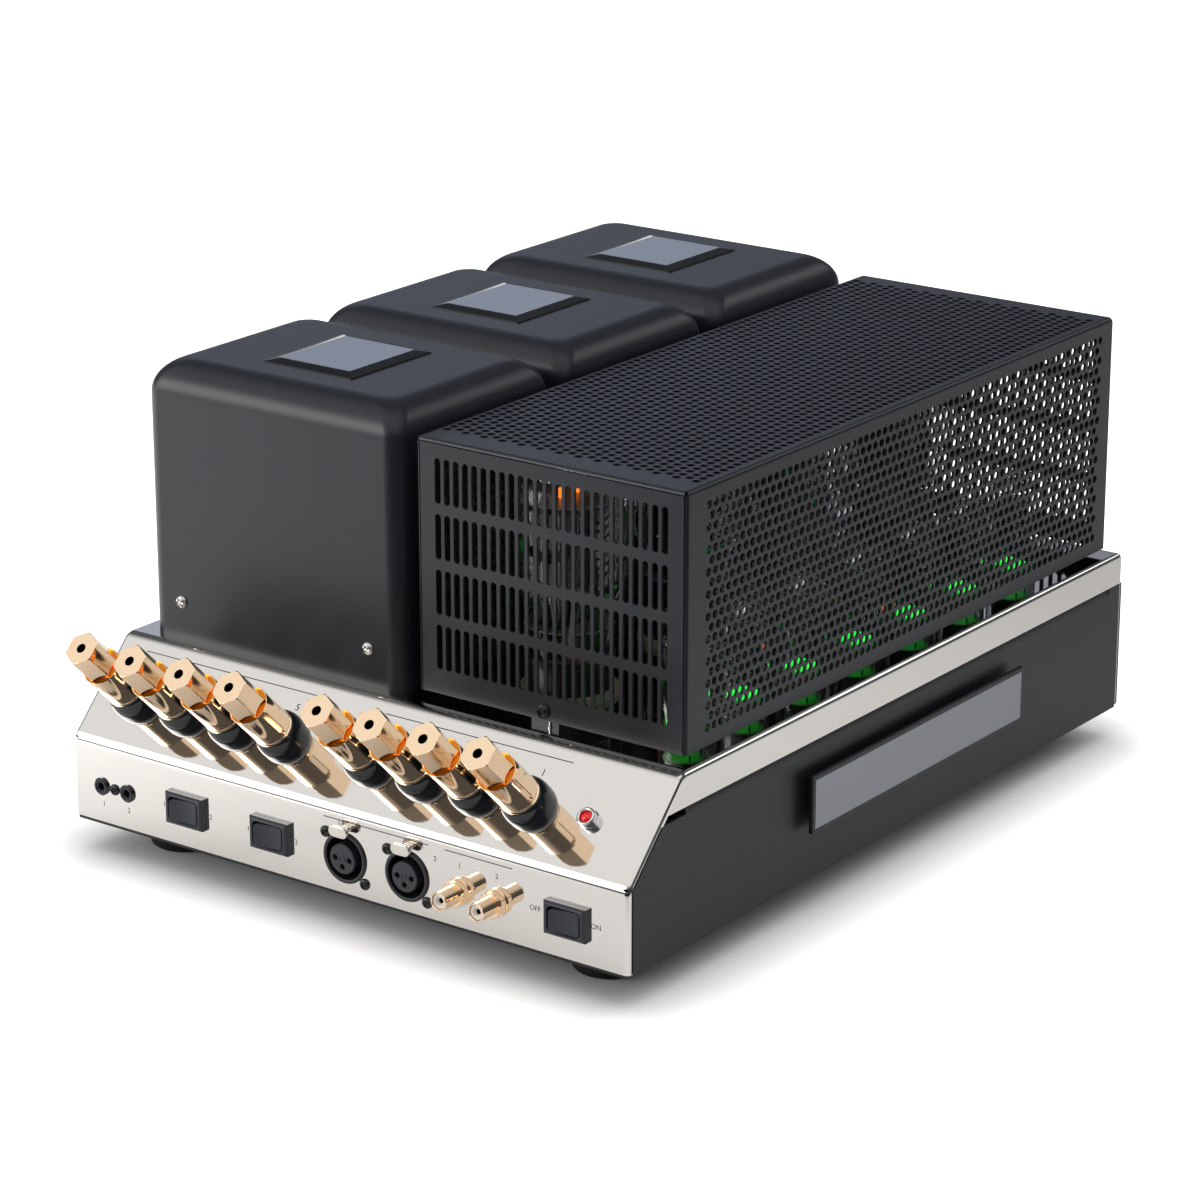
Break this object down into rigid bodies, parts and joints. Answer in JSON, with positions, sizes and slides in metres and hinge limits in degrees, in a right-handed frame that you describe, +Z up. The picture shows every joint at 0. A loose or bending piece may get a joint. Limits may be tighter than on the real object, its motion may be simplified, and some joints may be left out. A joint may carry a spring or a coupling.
{
  "type": "tube power amplifier",
  "caption": "Tube power amplifier: polished chassis with a sloped connector face, perforated cage over glowing tubes, black transformer cans and gold binding posts.",
  "frame": {"origin": "middle of the underside of the whole object, on the surface that the feet rest on", "axes": "+X runs from the connector panel to the far end, +Y from the plaque's side to the cans' side, +Z up"},
  "size_m": [0.4208, 0.3056, 0.2182],
  "materials": {
    "polished_steel": "mirror-polished stainless sheet",
    "black_plate": "satin black powder coat",
    "foot_rubber": "matt black rubber",
    "plaque_grey": "satin grey metal",
    "winding_copper": "enamelled copper wire",
    "bright_screw": "bright plated steel",
    "cage_black": "fine satin black powder coat",
    "black_screw": "black oxide",
    "gold": "gold-plated brass",
    "insulator_black": "black moulded plastic",
    "switch_black": "semi-gloss black plastic",
    "nickel": "bright nickel",
    "chrome_trim": "chrome",
    "lamp_red": "red moulded lens",
    "base_black": "black phenolic",
    "electrode_grey": "carbonised nickel",
    "tube_glass": "clear blown glass",
    "socket_ceramic": "unglazed white ceramic",
    "board_green": "fibreglass board",
    "can_black": "fine satin black powder coat",
    "plate_glass": "bevelled dark glass",
    "core_steel": "stacked silicon steel laminations"
  },
  "bodies": {
    "root": {"chassis_shell": "polished_steel", "side_plate_front": "black_plate", "side_plate_rear": "black_plate", "back_panel": "black_plate", "bottom_cover": "black_plate", "rubber_feet": "foot_rubber", "nameplate_bar": "plaque_grey", "nameplate_studs": "black_plate", "transformer_can_1": "can_black", "can_plate_1": "plate_glass", "transformer_core_1": "core_steel", "transformer_can_2": "can_black", "can_plate_2": "plate_glass", "transformer_core_2": "core_steel", "transformer_can_3": "can_black", "can_plate_3": "plate_glass", "transformer_core_3": "core_steel", "transformer_windings": "winding_copper", "can_screws": "bright_screw", "cage_top": "cage_black", "cage_front": "cage_black", "cage_rear": "cage_black", "cage_end_near": "cage_black", "cage_end_far": "cage_black", "cage_brackets": "bright_screw", "power_tube_1": "tube_glass", "power_tube_2": "tube_glass", "power_tube_3": "tube_glass", "power_tube_4": "tube_glass", "power_tube_bases": "base_black", "tube_plates": "electrode_grey", "signal_tubes": "tube_glass", "tube_sockets": "socket_ceramic", "post_insulators": "insulator_black", "post_stems": "gold", "switch_bodies": "switch_black", "xlr_shells": "insulator_black", "xlr_inserts": "insulator_black", "rca_jacks": "gold", "control_jacks": "insulator_black", "lamp_bezel": "chrome_trim", "lamp_lens": "lamp_red", "mains_inlet": "switch_black", "fuse_holder": "switch_black", "circuit_board": "board_green", "black_screws": "black_screw"},
    "post_cap_1": {"post_cap_1": "gold"},
    "post_cap_2": {"post_cap_2": "gold"},
    "post_cap_3": {"post_cap_3": "gold"},
    "post_cap_4": {"post_cap_4": "gold"},
    "post_cap_5": {"post_cap_5": "gold"},
    "post_cap_6": {"post_cap_6": "gold"},
    "post_cap_7": {"post_cap_7": "gold"},
    "post_cap_8": {"post_cap_8": "gold"},
    "mode_rocker": {"mode_rocker": "switch_black"},
    "input_rocker": {"input_rocker": "switch_black"},
    "power_rocker": {"power_rocker": "switch_black"},
    "xlr_latch_1": {"xlr_latch_1": "nickel"},
    "xlr_latch_2": {"xlr_latch_2": "nickel"},
    "fuse_cap": {"fuse_cap": "switch_black"}
  },
  "joints": [
    {"name": "post_cap_1_turn", "type": "hinge", "parent": "root", "child": "post_cap_1", "pos_m": [-0.18846, -0.085, 0.08645], "axis": [-0.7212, 0, 0.6927], "range_deg": [0, 720]},
    {"name": "post_cap_2_turn", "type": "hinge", "parent": "root", "child": "post_cap_2", "pos_m": [-0.18846, -0.0572, 0.08645], "axis": [-0.7212, 0, 0.6927], "range_deg": [0, 720]},
    {"name": "post_cap_3_turn", "type": "hinge", "parent": "root", "child": "post_cap_3", "pos_m": [-0.18846, -0.0294, 0.08645], "axis": [-0.7212, 0, 0.6927], "range_deg": [0, 720]},
    {"name": "post_cap_4_turn", "type": "hinge", "parent": "root", "child": "post_cap_4", "pos_m": [-0.18846, -0.0016, 0.08645], "axis": [-0.7212, 0, 0.6927], "range_deg": [0, 720]},
    {"name": "post_cap_5_turn", "type": "hinge", "parent": "root", "child": "post_cap_5", "pos_m": [-0.18846, 0.0459, 0.08645], "axis": [-0.7212, 0, 0.6927], "range_deg": [0, 720]},
    {"name": "post_cap_6_turn", "type": "hinge", "parent": "root", "child": "post_cap_6", "pos_m": [-0.18846, 0.0737, 0.08645], "axis": [-0.7212, 0, 0.6927], "range_deg": [0, 720]},
    {"name": "post_cap_7_turn", "type": "hinge", "parent": "root", "child": "post_cap_7", "pos_m": [-0.18846, 0.1015, 0.08645], "axis": [-0.7212, 0, 0.6927], "range_deg": [0, 720]},
    {"name": "post_cap_8_turn", "type": "hinge", "parent": "root", "child": "post_cap_8", "pos_m": [-0.18846, 0.1293, 0.08645], "axis": [-0.7212, 0, 0.6927], "range_deg": [0, 720]},
    {"name": "mode_rocker_tilt", "type": "hinge", "parent": "root", "child": "mode_rocker", "pos_m": [-0.18692, 0.0868, 0.033], "axis": [0, 0, -1], "range_deg": [0, 16]},
    {"name": "input_rocker_tilt", "type": "hinge", "parent": "root", "child": "input_rocker", "pos_m": [-0.18692, 0.03901, 0.033], "axis": [0, 0, -1], "range_deg": [0, 16]},
    {"name": "power_rocker_tilt", "type": "hinge", "parent": "root", "child": "power_rocker", "pos_m": [-0.18692, -0.1169, 0.033], "axis": [0, 0, -1], "range_deg": [0, 16]},
    {"name": "xlr_latch_1_press", "type": "slide", "parent": "root", "child": "xlr_latch_1", "axis": [1, 0, 0], "range_m": [0, 0.002], "stiffness_N_per_m": 300},
    {"name": "xlr_latch_2_press", "type": "slide", "parent": "root", "child": "xlr_latch_2", "axis": [1, 0, 0], "range_m": [0, 0.002], "stiffness_N_per_m": 300},
    {"name": "fuse_cap_turn", "type": "hinge", "parent": "root", "child": "fuse_cap", "pos_m": [0.20658, -0.0272, 0.046], "axis": [1, 0, 0], "range_deg": [0, 90]}
  ]
}
